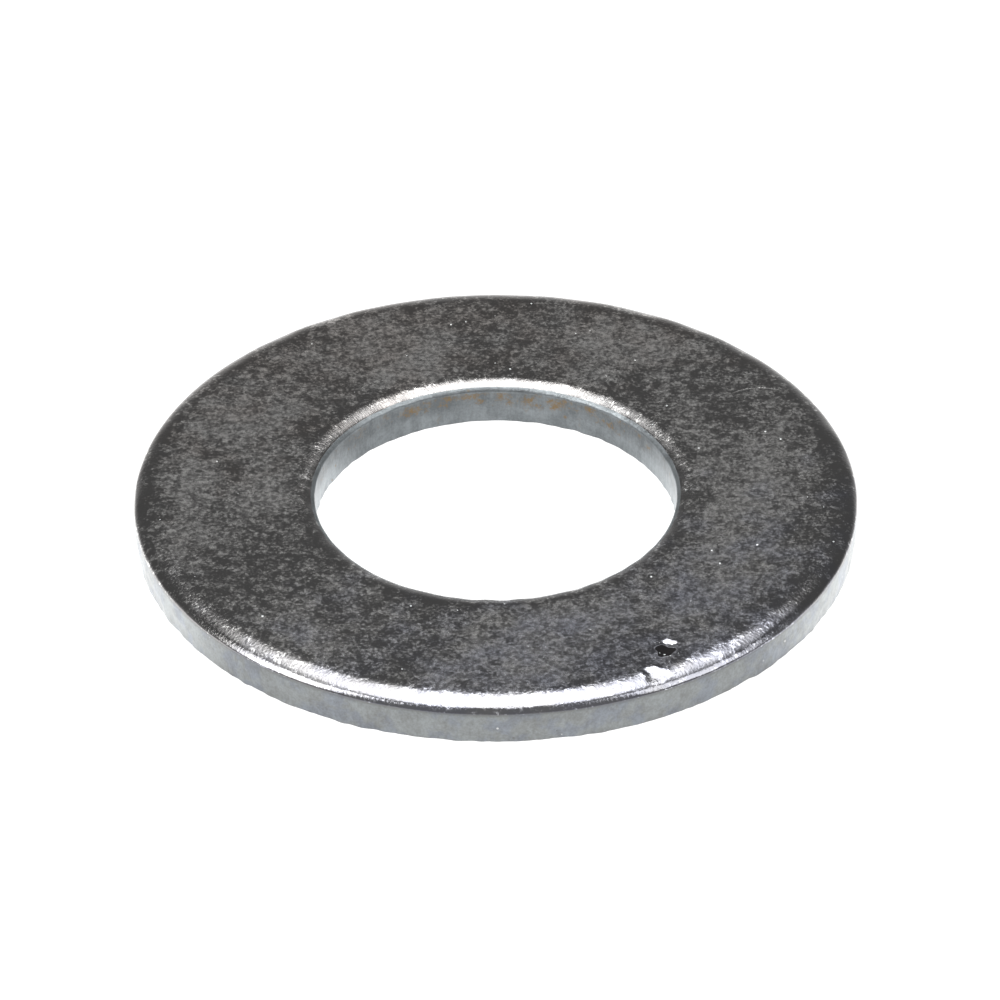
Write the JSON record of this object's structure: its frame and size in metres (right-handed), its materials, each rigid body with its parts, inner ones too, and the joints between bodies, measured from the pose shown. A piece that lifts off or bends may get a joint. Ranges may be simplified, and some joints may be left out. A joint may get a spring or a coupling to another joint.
{
  "type": "flat washer",
  "caption": "Thin flat washer in zinc-plated steel, with rounded upper edges at the rim and the hole. Spreads a bolt or nut's load.",
  "frame": {"origin": "centre of the hole on the bottom face, where the washer rests", "axes": "+Z along the axis of the hole, from the sharp-edged bottom face to the top face with the rounded edges"},
  "size_m": [0.021, 0.021, 0.0012],
  "materials": {
    "zinc_plated_steel": "bright zinc plating on stamped mild steel, finely mottled on the faces and smoother on the rounded edges"
  },
  "bodies": {
    "root": {"flat_washer": "zinc_plated_steel"}
  },
  "joints": []
}
